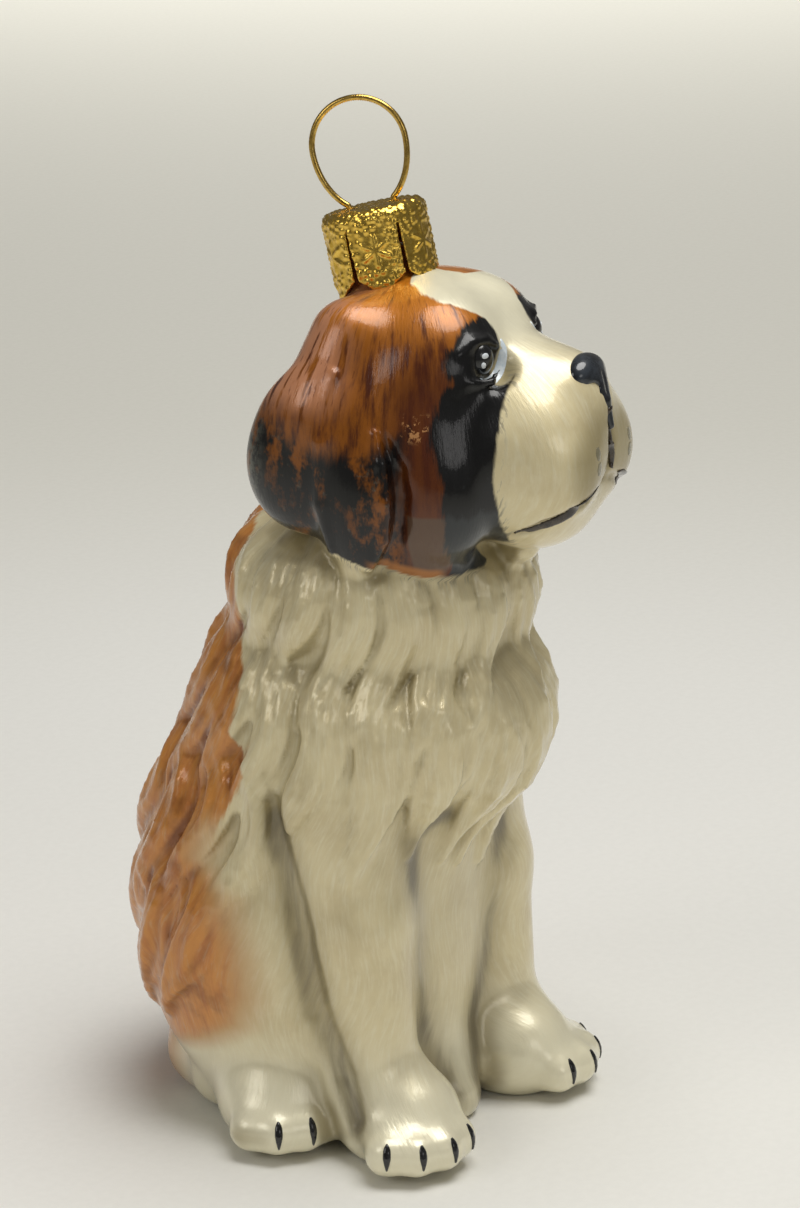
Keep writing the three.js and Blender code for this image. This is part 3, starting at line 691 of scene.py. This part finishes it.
def paintedGlass():
    c = {
        "cream": (0.78, 0.68, 0.42), "ivoryAndPaintedLight": (0.93, 0.89, 0.69), "oliveShade": (0.31, 0.25, 0.12),
        "shade": (0.67, 0.57, 0.34), "greyGrooveShade": (0.17, 0.145, 0.095), "dryBrush": (0.25, 0.22, 0.15),
        "brown": (0.54, 0.2, 0.05), "orange": (0.66, 0.28, 0.06), "darkBrownAndShade": (0.19, 0.052, 0.01),
        "paleBrownAndHighlight": (0.62, 0.35, 0.16), "fade": (0.56, 0.3, 0.11), "headBrown": (0.08, 0.015, 0.002),
        "redBrown": (0.085, 0.016, 0.003), "amber": (0.29, 0.088, 0.005), "mauve": (0.56, 0.25, 0.13),
        "crown": (0.54, 0.18, 0.012), "tan": (0.5, 0.24, 0.09), "rim": (0.45, 0.17, 0.03),
        "taupe": (0.12, 0.07, 0.042), "black": (0.004, 0.004, 0.0045), "greyGreen": (0.09, 0.095, 0.075),
        "slate": (0.026, 0.03, 0.032),
    }
    w = Wiring("paintedGlass")

    def cover(under, name, *shares):
        return w.mix(w.both(*shares), under, c[name])

    place, grain = w.place(), w.number("grain", "Vector")
    streaks = w.noise(w.scaled(grain, (1.0, 0.13, 1)), 1.1, 5, 0.62)
    fineStreaks = w.noise(w.scaled(grain, (1.0, 0.1, 1)), 3.4, 4, 0.65)
    blotches = w.noise(place, 0.16, 4, 0.55)
    crumbs = w.noise(place, 1.1, 5, 0.65)
    wander = w.maths("MULTIPLY_ADD", streaks, 2.4)
    wander.node.inputs[2].default_value = -1.2

    # cream coat, darkened in the hollows and grooves as painted shade, and paler on the hair ridges, partly
    # dry-brushed paint and partly a painted highlight
    hollow, recess = w.number("hollow"), w.number("recess")
    height, depth = w.number("height"), w.number("headBack")
    coat = w.mix(w.ramp(blotches, 0.35, 0.7), c["cream"], c["shade"])
    coat = cover(coat, "ivoryAndPaintedLight", w.ramp(fineStreaks, 0.4, 0.75), 0.35)
    # painted light: paler towards the paws
    coat = cover(coat, "ivoryAndPaintedLight", w.ramp(height, 17, 6, 0, 0.75))
    # painted shade: darker in the recesses and hollows
    coat = cover(coat, "oliveShade", w.ramp(recess, 0.15, 0.7, 0, 0.6))
    coat = cover(coat, "oliveShade", w.ramp(hollow, 0.08, 0.55, 0, 0.5))
    # paler on the hair ridges: dry-brushed paint, partly a painted highlight
    coat = cover(coat, "ivoryAndPaintedLight", w.ramp(hollow, -0.02, -0.2), 0.6)
    # painted shade: darker, then grey, along the grooves between the legs
    beside = w.maths("ADD", w.number("groove"), w.both(wander, 0.8))
    coat = cover(coat, "oliveShade", w.ramp(beside, 4.2, 0.6, 0, 0.5))
    coat = cover(coat, "greyGrooveShade", w.ramp(beside, 2.0, 0.2, 0, 0.85))
    # painted shade: darker under the front of the muzzle
    coat = cover(coat, "oliveShade", w.ramp(depth, -23.6, -25.8), w.ramp(height, 87, 83), 0.75)
    # painted highlight: paler towards the top of the forehead
    coat = cover(coat, "ivoryAndPaintedLight", w.ramp(height, 88, 93), 0.8)

    # brown back, wiped thin at its edge and sprayed over the thigh
    brown = w.mix(w.ramp(streaks, 0.32, 0.62), c["brown"], c["orange"])
    brown = cover(brown, "paleBrownAndHighlight", w.ramp(fineStreaks, 0.5, 0.72), 0.7)
    # painted shade: dark brown in the hollows
    brown = cover(brown, "darkBrownAndShade", w.ramp(hollow, 0.03, 0.4, 0, 0.85))
    # paler on the ridges: dry-brushed paint, partly a painted highlight
    brown = cover(brown, "paleBrownAndHighlight", w.ramp(hollow, -0.02, -0.22), 0.55)
    brown = cover(brown, "darkBrownAndShade", w.ramp(blotches, 0.5, 0.68), 0.5)
    backEdge = w.maths("ADD", w.number("brownBack"), wander)
    low = w.ramp(height, 40, 34)
    sprayed = w.both(w.ramp(w.number("brownBack"), 3.4, -3.4), low)
    coat = cover(coat, "fade", sprayed, 0.9)
    hard = w.ramp(backEdge, 0.35, -0.35)
    soft = w.ramp(backEdge, -0.6, -5.2)
    share = w.maths("ADD", w.both(hard, w.maths("SUBTRACT", 1.0, low)), w.both(soft, low))
    coat = w.mix(share, coat, brown)

    # head: brown in radiating strokes, mauve behind, amber and red-brown to the front
    head = w.mix(w.ramp(streaks, 0.36, 0.6), c["headBrown"], c["amber"])
    head = cover(head, "redBrown", w.ramp(depth, -4.5, -9), w.ramp(height, 93, 86), 0.8)
    head = cover(head, "crown", w.ramp(height, 91, 96), w.ramp(streaks, 0.25, 0.5), 0.95)
    mauveStrokes = w.ramp(w.noise(w.scaled(grain, (1.0, 0.07, 1)), 1.5), 0.38, 0.5)
    mauveShare = w.both(w.ramp(depth, -3.5, 2.5), w.ramp(height, 83, 87), mauveStrokes)
    head = cover(head, "mauve", mauveShare, 0.9)
    head = cover(head, "redBrown", w.ramp(fineStreaks, 0.6, 0.66), 0.5)
    earBlack = w.maths("ADD", w.number("earBlack"), w.both(wander, 1.5))
    earInk = w.mix(w.both(w.ramp(depth, 6.5, 9.5), w.ramp(crumbs, 0.42, 0.6)), c["black"], c["greyGreen"])
    clouds = w.noise(w.scaled(place, (1, 1, 0.6)), 0.34, 4, 0.7)
    nearEdge = w.ramp(w.number("earBlack"), -8, -1)
    earInk = cover(earInk, "amber", w.ramp(clouds, 0.5, 0.66), nearEdge, 0.85)
    earInk = cover(earInk, "greyGreen", w.ramp(crumbs, 0.58, 0.68), w.ramp(clouds, 0.45, 0.6), 0.5)
    head = w.mix(w.ramp(earBlack, 2.2, -1), head, earInk)
    headRim = w.both(w.ramp(w.number("seam"), 1.3, 0.5), w.ramp(depth, -4, -6), w.ramp(depth, -11.5, -10.5))
    mask = w.maths("ADD", w.number("mask"), w.both(wander, 1.1))
    maskInk = w.mix(w.both(w.ramp(crumbs, 0.6, 0.7), 0.3), c["black"], c["slate"])
    lowMask = w.ramp(w.maths("ADD", height, w.both(wander, 1.2)), 75, 74)
    maskInk = cover(maskInk, "slate", lowMask)
    outer = w.ramp(w.number("side"), 10.2, 10.8)
    taupe = w.both(w.ramp(height, 74.7, 74.2), w.ramp(depth, -8.4, -8.8), outer)
    head = cover(head, "taupe", taupe, 0.95)
    fleckBand = w.both(w.ramp(height, 82, 83), w.ramp(height, 85.5, 84.5))
    fleckWidth = w.both(w.ramp(depth, -7.6, -8), w.ramp(depth, -10.6, -10.2))
    head = cover(head, "tan", w.ramp(crumbs, 0.55, 0.6), fleckBand, fleckWidth)
    head = w.mix(w.ramp(mask, 0.3, -0.3), head, maskInk)
    head = cover(head, "rim", headRim, 0.9)

    edge = w.maths("ADD", w.number("brownHead"), w.both(wander, 0.45))
    dry = w.both(w.ramp(edge, 1.5, 0.1), w.ramp(fineStreaks, 0.5, 0.6), w.ramp(height, 90, 88), 0.75)
    colour = w.mix(dry, coat, c["dryBrush"])
    colour = w.mix(w.ramp(edge, 0.22, -0.22), colour, head)

    w.set(baseColor=colour, metallic=w.ramp(blotches, 0.2, 0.8, 0.1, 0.3))
    w.set(roughness=w.ramp(crumbs, 0.3, 0.7, 0.3, 0.38))
    w.shader.inputs["Coat Weight"].default_value = 0.8
    w.shader.inputs["Coat Roughness"].default_value = 0.045
    w.shader.inputs["Coat IOR"].default_value = 1.42
    w.shader.inputs["Specular IOR Level"].default_value = 0.25
    brushMarks = w.maths("ADD", w.maths("MULTIPLY", fineStreaks, 0.7), w.maths("MULTIPLY", crumbs, 0.12))
    w.put(w.shader.inputs["Normal"], w.bump(brushMarks, 0.35, 0.00022))
    w.put(w.shader.inputs["Coat Normal"], w.bump(w.maths("ADD", brushMarks, blotches), 0.22, 0.00018))
    return w.material


skin = makeMesh("painted_glass", (points + shift) * mm, quads.tolist(), paintedGlass())
skinNormals = normalsOf(fullField, grid, points)
for numberName, values in paintPlaces(points, skinNormals).items():
    giveNumbers(skin.data, numberName, values)
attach(skin, "root")
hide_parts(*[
    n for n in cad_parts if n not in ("cap", "hanger_ring", "eye_left", "eye_right", "nose")
])
print("stage 4: glass painted")


# small things laid on the glass with a brush
def lacquer(name, colour, second, speckle=1.4):
    w = Wiring(name)
    crumbs = w.noise(w.place(), speckle, 5, 0.6)
    w.set(baseColor=w.mix(w.ramp(crumbs, 0.35, 0.7), colour, second))
    w.set(roughness=w.ramp(crumbs, 0.3, 0.7, 0.2, 0.325))
    w.shader.inputs["Specular IOR Level"].default_value = 0.3
    w.shader.inputs["Coat Weight"].default_value = 0.9
    w.shader.inputs["Coat Roughness"].default_value = 0.04
    w.put(w.shader.inputs["Normal"], w.bump(crumbs, 0.2, 0.0001))
    return w.material


inks = {
    "black": lacquer("blackPaint", (0.004, 0.004, 0.004), (0.012, 0.012, 0.014)),
    "brownBlack": lacquer("brownBlackPaint", (0.02, 0.013, 0.008), (0.07, 0.05, 0.03)),
    "white": lacquer("whitePaint", (0.85, 0.88, 0.9), (0.7, 0.76, 0.82)),
    "paleBlue": lacquer("paleBluePaint", (0.6, 0.7, 0.78), (0.78, 0.84, 0.88)),
    "smudge": lacquer("greySmudge", (0.2, 0.18, 0.11), (0.27, 0.24, 0.15)),
    "steel": lacquer("steelPaint", (0.006, 0.007, 0.009), (0.035, 0.043, 0.055), 0.5),
}


def along(stations, count):          # evenly placed points on a smooth line through the stations
    given = np.array(stations, float)
    steps = np.concatenate([[0], np.cumsum(np.linalg.norm(np.diff(given[:, :3], axis=0), axis=1))])
    wanted = np.linspace(0, steps[-1], count)
    line = np.stack([np.interp(wanted, steps, column) for column in given.T], axis=1)
    for _ in range(3):
        line[1:-1] = (line[:-2] + 2 * line[1:-1] + line[2:]) / 4
    return line


def tube(rings, start, end):         # a closed tube through rings of points, with a point at each end
    count, ring = len(rings), len(rings[0])
    faces = [
        (i * ring + j, i * ring + (j + 1) % ring, (i + 1) * ring + (j + 1) % ring, (i + 1) * ring + j)
        for i in range(count - 1) for j in range(ring)
    ]
    last = (count - 1) * ring
    faces += [(count * ring, (j + 1) % ring, j) for j in range(ring)]
    faces += [(count * ring + 1, last + j, last + (j + 1) % ring) for j in range(ring)]
    return np.concatenate([*rings, [start], [end]]), faces


# a closed raised ribbon of paint on the glass, its stations as (x, y, z, half width)
def brushStroke(stations, rise, count=22, wrap=True):
    sunk = 0.22
    line = along(stations, count)
    places, widths = line[:, :3], np.maximum(line[:, 3], 0.03)
    places = settled(fullField, grid, places, 14)
    normals = normalsOf(fullField, grid, places)
    for _ in range(2):
        places[1:-1] = (places[:-2] + 2 * places[1:-1] + places[2:]) / 4
    across = unit(np.cross(normals, unit(np.gradient(places, axis=0))))
    turns = np.arange(10) * 2 * math.pi / 10
    up = np.where(np.sin(turns) > 0, rise, sunk) * np.sin(turns)
    rings = []
    for p, n, a, wide in zip(places, normals, across, widths):
        edge = p + np.outer(np.cos(turns) * wide, a)
        if wrap:
            edge = settled(fullField, grid, edge, 4)
        rings.append(edge + np.outer(up, n))
    return tube(rings, places[0], places[-1])


def layPaint(name, parts, ink):          # makes one piece of closed parts, each its points and faces
    vertices, faces, start = [], [], 0
    for places, corners in parts:
        vertices.append(places)
        faces += [tuple(start + c for c in corner) for corner in corners]
        start += len(places)
    made = makeMesh(name, (np.concatenate(vertices) + shift) * mm, faces, inks[ink])
    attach(made, "root")
    return made


def clawStrokes():
    strokes = []
    for sign in (1, -1):
        for name in ("front", "hind"):
            for place in paws["fan"] if name == "front" else paws["fan"][1:3]:
                at = toeLine(paws[name], sign, place)
                heights = ((5.4, 0.12), (4.6, 0.4), (3.7, 0.46), (2.6, 0.12))
                strokes.append(brushStroke([(*at(1.22, z), wide) for z, wide in heights], rise=0.16))
    return strokes


layPaint("claws", clawStrokes(), "black")


def mouthStrokes():
    fromNose = headLine(
        (0, -25, 84.6, 0.6), (0, -26.4, 82, 0.5), (0, -26.8, 79.8, 0.45), (0, -26.7, 77.2, 0.25),
    )
    strokes = [brushStroke(fromNose, rise=0.24, wrap=False)]
    for s in (1, -1):
        strokes.append(brushStroke(headLine(
            (s * 2.5, -26.7, 76.0, 0.15), (s * 3.6, -26.4, 75.7, 0.5), (s * 6.3, -24.4, 74.6, 0.6),
            (s * 7.6, -21.5, 73.0, 0.5), (s * 7.8, -18, 71.4, 0.2),
        ), rise=0.16, count=30, wrap=False))
    return strokes


layPaint("mouth_lines", mouthStrokes(), "brownBlack")


def smudgeStrokes():
    strokes = []
    for x, y, z in ((4.4, -26, 80.7), (4.3, -26.2, 79.0), (-4.4, -26, 80.7), (-4.3, -26.2, 79.0)):
        stations = headLine((x, y, z + 0.7, 0.3), (x, y, z, 0.6), (x, y, z - 0.7, 0.3))
        strokes.append(brushStroke(stations, rise=0.045, count=14))
    return strokes


layPaint("muzzle_smudges", smudgeStrokes(), "smudge")
print("stage 5: strokes laid")


# eyes: black domes with a highlight and a pale crescent round them
eye = {
    "x": 6.7, "y": -13.2, "z": 90.1, "turn": 32, "radii": (1.6, 1.5, 1.95),
    # highlights: how far out, sideways and up from the eye's middle, and their radii
    "glints": ((1.32, -0.1, 0.55, (0.44, 0.17, 0.38)), (1.42, -0.35, -0.35, (0.3, 0.14, 0.34))),
    "crescent": ((4.1, -14.8, 92, 0.12), (4.3, -15, 90.4, 0.5), (5.1, -14.9, 88.5, 0.62),
                 (6.8, -14.5, 87.5, 0.6), (8.6, -13.6, 88, 0.14)),
}


def ball(centre, radii, turn, segments=48, rows=28):       # a closed round dome, turned about the vertical
    around = np.arange(segments) * 2 * math.pi / segments
    rings = []
    for polar in np.arange(1, rows) * math.pi / rows:
        wide, up = math.sin(polar), np.full(segments, math.cos(polar))
        rings.append(np.stack([wide * np.cos(around), wide * np.sin(around), up], axis=1))
    vertices, faces = tube(rings, np.array((0, 0, 1.0)), np.array((0, 0, -1.0)))
    spin = np.array(Matrix.Rotation(turn, 3, "Z"))
    return (vertices * radii) @ spin.T + centre, [face[::-1] for face in faces]


def makeEyes():
    for side, s in (("left", 1), ("right", -1)):
        turn = math.radians(s * eye["turn"] + figure["headTurn"])
        centre = np.array(headPoint(s * eye["x"], eye["y"], eye["z"]))
        dome = layPaint("eye_dome_" + side, [ball(centre, eye["radii"], turn)], "black")
        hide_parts("eye_" + side)
        outward, sideways = (math.sin(turn), -math.cos(turn), 0), (math.cos(turn), math.sin(turn), 0)
        glints = []
        for *place, radii in eye["glints"]:
            middle = centre + np.array(place) @ np.array([outward, sideways, (0, 0, 1)])
            glints.append(ball(middle, radii, turn, 20, 12))
        layPaint("eye_glints_" + side, glints, "white")
    crescents = []
    for s in (1, -1):
        stations = headLine(*[(s * x, y, z, wide) for x, y, z, wide in eye["crescent"]])
        crescents.append(brushStroke(stations, rise=0.07))
    layPaint("eye_crescents", crescents, "paleBlue")


makeEyes()


# nose leather
nose = {"centre": (0, -22.3, 87.4), "low": (-3.9, -26.6, 81.8), "high": (4, -19.8, 90.8), "cell": 0.16}


def makeNose():
    centre = np.array(nose["centre"])
    forms = [
        add(ellipsoid(centre + (0, -0.2, 0.6), (3.4, 2, 2.1)), 0.5),
        add(ellipsoid(centre + (0, -1.1, -1.3), (2.6, 1.7, 2.2)), 0.9),
        add(rod(centre + (0, -2.3, -2.4), centre + (0, -3.3, -4.8), 0.95, 0.4), 0.9),
        add(ellipsoid(centre + (1.9, -2, -0.4), (0.75, 0.7, 0.5)), 0.4, carve=True),
        add(ellipsoid(centre + (-1.9, -2, -0.4), (0.75, 0.7, 0.5)), 0.4, carve=True),
        add(rod(centre + (0, -2.45, 0.9), centre + (0, -3.05, -1.2), 0.14, 0.2), 0.4, carve=True),
    ]
    axes = [np.arange(low, high, nose["cell"]) for low, high in zip(nose["low"], nose["high"])]
    places, faces = surfaceNet(distanceAt(forms, *openGrid(axes)), axes)
    places = np.stack(headPoint(*places.T), axis=1)
    leather = layPaint("nose_leather", [(places, faces.tolist())], "steel")
    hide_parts("nose")


makeNose()
print("stage 6: eyes and nose")


# gilt: the stamped cap and its wire loop
cap = {
    "radius": 5.7, "wall": 0.4, "height": 9.2, "round": 1.1, "lean": 15, "top": (0.1, -3.4, 103.6),
    "petals": 6, "slitTop": -2, "slitWide": (0.13, 0.3), "notch": 2, "hole": 0.75, "holeSpread": 2.4,
    "cell": 0.12, "grain": 0.74, "relief": 0.19, "starRadius": 2.1, "starZ": -4.5,
}
loop = {"radius": 5.1, "wire": 0.33, "height": 11.9, "drop": 7, "spread": 2.3, "turn": -64}


def granules(u, v, pitch):            # low bumps on a jittered lattice
    best = np.full(u.shape, 9.0)
    i, j = np.floor(u / pitch), np.floor(v / pitch)
    for di in (-1, 0, 1):
        for dj in (-1, 0, 1):
            ci, cj = i + di, j + dj
            jx = np.sin(ci * 127.1 + cj * 311.7) * 43.7
            jy = np.sin(ci * 269.5 + cj * 183.3) * 27.3
            px = (ci + 0.5 + 0.36 * np.sin(jx)) * pitch
            py = (cj + 0.5 + 0.36 * np.sin(jy)) * pitch
            best = np.minimum(best, np.hypot(u - px, v - py))
    return np.clip(1 - best / (pitch * 0.52), 0, 1) ** 0.8


def capField(x, y, z):
    radius, k, wall = cap["radius"], cap["round"], cap["wall"]
    r = np.hypot(x, y)
    pitch = 2 * math.pi / cap["petals"]
    angle = np.arctan2(x, -y)
    arc = (np.mod(angle + pitch / 2, pitch) - pitch / 2) * radius      # from the middle of a petal
    halfPitch = math.pi * radius / cap["petals"]

    def cup(size, top, corner):
        dx, dz = r - (size - corner), z - (top - corner)
        return np.hypot(np.maximum(dx, 0), np.maximum(dz, 0)) + np.minimum(np.maximum(dx, dz), 0) - corner

    sideBumps = granules(angle * radius, z + 0 * angle, cap["grain"])
    topBumps = granules(x + 0 * z, y + 0 * z, cap["grain"])
    onSide = softStep(r - radius + 0.5 - (z + 0.8) * 0.3, -0.2, 0.2)
    bumps = onSide * sideBumps + (1 - onSide) * topBumps
    starX, starZ = arc, z - cap["starZ"]
    reach = np.hypot(starX, starZ)
    turned = np.mod(np.arctan2(starX, starZ) + math.pi / 6, math.pi / 3) - math.pi / 6
    armLine = np.abs(np.sin(turned)) * reach
    arms = np.clip(1.25 - armLine / 0.3, 0, 1) * np.clip((cap["starRadius"] - reach) / 0.5, 0, 1)
    barbs = np.clip(1 - np.abs(reach - 1.25) / 0.22, 0, 1) * np.clip(1 - armLine / 0.55, 0, 1)
    star = np.maximum(arms, 0.8 * barbs)
    flat = softStep(reach, cap["starRadius"] * 0.8, cap["starRadius"] * 1.1)
    relief = onSide * np.maximum(bumps * flat, star * (1 - 0.3 * flat)) + (1 - onSide) * bumps
    outside = cup(radius - 0.08, -0.08, k) - cap["relief"] * relief
    shell = np.maximum(outside, -cup(radius - wall, -wall, k * 0.7))
    fromSlit = halfPitch - np.abs(arc)
    slitHalf = np.interp(z, (-cap["height"], cap["slitTop"]), cap["slitWide"][::-1])
    slit = np.maximum(fromSlit - slitHalf, z - cap["slitTop"])
    slit = np.where(r > radius - 2, slit, 9)
    tip = -cap["height"] + cap["notch"] * np.abs(arc) / halfPitch - z
    field = np.maximum(np.maximum(shell, -slit), tip)
    turn = math.radians(loop["turn"])
    for s in (1, -1):
        hx, hy = s * cap["holeSpread"] * math.cos(turn), s * cap["holeSpread"] * math.sin(turn)
        field = np.maximum(field, cap["hole"] - np.hypot(x - hx, y - hy))
    return field


def onCap(places):
    spin = np.array(Matrix.Rotation(math.radians(-cap["lean"]), 3, "X"))
    return places @ spin.T + np.array(cap["top"])


def gilt(name, colour, second, grainScale):
    w = Wiring(name)
    place = w.place()
    crumbs = w.noise(place, grainScale, 6, 0.7)
    wear = w.noise(place, 0.7, 4, 0.6)
    w.set(baseColor=w.mix(w.ramp(crumbs, 0.3, 0.72), colour, second))
    w.set(metallic=1.0, roughness=w.ramp(wear, 0.3, 0.7, 0.16, 0.3))
    w.put(w.shader.inputs["Normal"], w.bump(crumbs, 0.25, 0.00006))
    return w.material


def makeCap():
    cell = cap["cell"]
    span = cap["radius"] + 0.4
    across = np.arange(-span, span, cell)
    axes = (across, across, np.arange(-cap["height"] - 0.3, 0.4, cell))
    places, faces = surfaceNet(capField(*openGrid(axes)), axes)
    inks["cap"] = gilt("giltCap", (0.7, 0.43, 0.06), (0.9, 0.63, 0.14), 3.2)
    made = layPaint("stamped_cap", [(onCap(places), faces.tolist())], "cap")
    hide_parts("cap")


makeCap()


def makeLoop():
    middle = loop["height"] - loop["radius"] - loop["wire"]
    stations = [(-loop["spread"], 0, -1.5)]
    for degrees in np.linspace(-151, 151, 121):
        a = math.radians(degrees)
        reach = loop["radius"] if math.cos(a) > 0 else loop["drop"]
        stations.append((math.sin(a) * loop["radius"], 0, middle + math.cos(a) * reach))
    stations.append((loop["spread"], 0, -1.5))
    line = along(stations, 420)
    sideways = np.array([0, 1.0, 0])
    turns = np.arange(14) * 2 * math.pi / 14
    rings = []
    for i, (p, t) in enumerate(zip(line, unit(np.gradient(line, axis=0)))):
        knurl = 0.05 * softStep(p[2] - middle, 3.4, 4.4) * math.sin(i * 1.9)      # worn ridges at the top
        wire = loop["wire"] + knurl * np.maximum(np.sin(turns), -0.2)
        up = np.cross(sideways, t)
        rings.append(p + np.outer(np.cos(turns) * wire, sideways) + np.outer(np.sin(turns) * wire, up))
    vertices, faces = tube(rings, line[0], line[-1])
    spin = np.array(Matrix.Rotation(math.radians(loop["turn"]), 3, "Z"))
    inks["wire"] = gilt("giltWire", (0.5, 0.3, 0.06), (0.78, 0.55, 0.16), 2.2)
    made = layPaint("wire_loop", [(onCap(vertices @ spin.T), faces)], "wire")
    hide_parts("hanger_ring")


makeLoop()
print("stage 7: cap and loop")


# camera, light and floor
view = {"azimuth": -55, "elevation": 19, "distance": 0.48, "pixelsPerMm": 9, "width": 800, "height": 1208,
        "target": (0, 0, 52), "targetPixel": (345, 655)}


def makeCamera():
    data = bpy.data.cameras.new("camera")
    camera = bpy.data.objects.new("camera", data)
    bpy.context.scene.collection.objects.link(camera)
    a, e = math.radians(view["azimuth"]), math.radians(view["elevation"])
    back = Vector((math.sin(a) * math.cos(e), -math.cos(a) * math.cos(e), math.sin(e)))
    target = Vector((np.array(view["target"]) + shift) * mm)
    camera.location = target + back * view["distance"]
    focal = view["pixelsPerMm"] * view["distance"] / mm
    data.sensor_fit = "VERTICAL"
    data.sensor_height = 36
    data.lens = focal / view["height"] * 36
    data.clip_start, data.clip_end = 0.01, 10
    dx = view["targetPixel"][0] - view["width"] / 2
    dy = view["targetPixel"][1] - view["height"] / 2
    pan = Matrix.Rotation(math.atan2(dx, focal), 4, "Y")
    tilt = Matrix.Rotation(math.atan2(dy, math.hypot(focal, dx)), 4, "X")
    camera.rotation_mode = "QUATERNION"
    camera.rotation_quaternion = back.to_track_quat("Z", "Y") @ (pan @ tilt).to_quaternion()
    bpy.context.scene.camera = camera


makeCamera()


floorSheet = {"half": 3.0, "drop": 0.00005, "lightWithin": 130, "darkBeyond": 300}


def makeStage():                     # a plain pale sheet, painted paler round the ornament and darker further out as a painted pool of light
    w = Wiring("paper")
    place = w.place()
    fibres = w.noise(place, 0.9, 5, 0.6)
    length = w.tree.nodes.new("ShaderNodeVectorMath")
    length.operation = "LENGTH"
    w.put(length.inputs[0], place)
    near = w.mix(w.ramp(fibres, 0.3, 0.7), (0.83, 0.825, 0.79), (0.85, 0.845, 0.81))
    far = w.mix(w.ramp(fibres, 0.3, 0.7), (0.72, 0.71, 0.65), (0.74, 0.73, 0.67))
    # painted light: the sheet's colour is paler near the ornament and darker further out
    outward = w.ramp(length.outputs["Value"], floorSheet["lightWithin"], floorSheet["darkBeyond"])
    w.set(baseColor=w.mix(outward, near, far), roughness=0.7)
    w.put(w.shader.inputs["Normal"], w.bump(fibres, 0.05, 0.0001))
    half, low = floorSheet["half"], -floorSheet["drop"]
    corners = np.array([(-half, -half, low), (half, -half, low), (half, half, low), (-half, half, low)])
    makeMesh("floor", corners, [(0, 1, 2, 3)], w.material, smooth=False)


makeStage()


lights = {
    "overhead": {"at": (0.05, -0.12, 0.72), "aim": (0, -0.02, 0.02), "size": 0.52, "power": 4.3,
                 "tint": (1, 0.985, 0.95)},
    "window": {"at": (-0.7, 0.25, 0.5), "aim": (0, 0, 0.07), "size": 0.36, "power": 0.9,
               "tint": (1, 0.98, 0.95)},
    "front": {"at": (-0.35, -0.75, 0.4), "aim": (0, 0, 0.02), "size": 0.3, "power": 0.4,
              "tint": (1, 0.98, 0.96)},
    "backdrop": {"at": (0.82, 0.58, 0.55), "aim": (1.1, 0.77, 0), "size": 0.6, "power": 7,
                 "tint": (1, 0.985, 0.93)},
}


def makeLights():
    for name, values in lights.items():
        data = bpy.data.lights.new(name, "AREA")
        data.shape = "DISK"
        data.size = values["size"]
        data.energy = values["power"]
        data.color = values["tint"]
        light = bpy.data.objects.new(name, data)
        light.location = values["at"]
        light.rotation_mode = "QUATERNION"
        light.rotation_quaternion = (Vector(values["at"]) - Vector(values["aim"])).to_track_quat("Z", "Y")
        bpy.context.scene.collection.objects.link(light)


makeLights()

world = bpy.data.worlds.new("studio")
bpy.context.scene.world = world
world.use_nodes = True
background = world.node_tree.nodes["Background"]
background.inputs["Color"].default_value = (0.9, 0.88, 0.83, 1)
background.inputs["Strength"].default_value = 0.16
bpy.context.scene.view_settings.view_transform = "Standard"
print("stage 8: camera, light and floor")
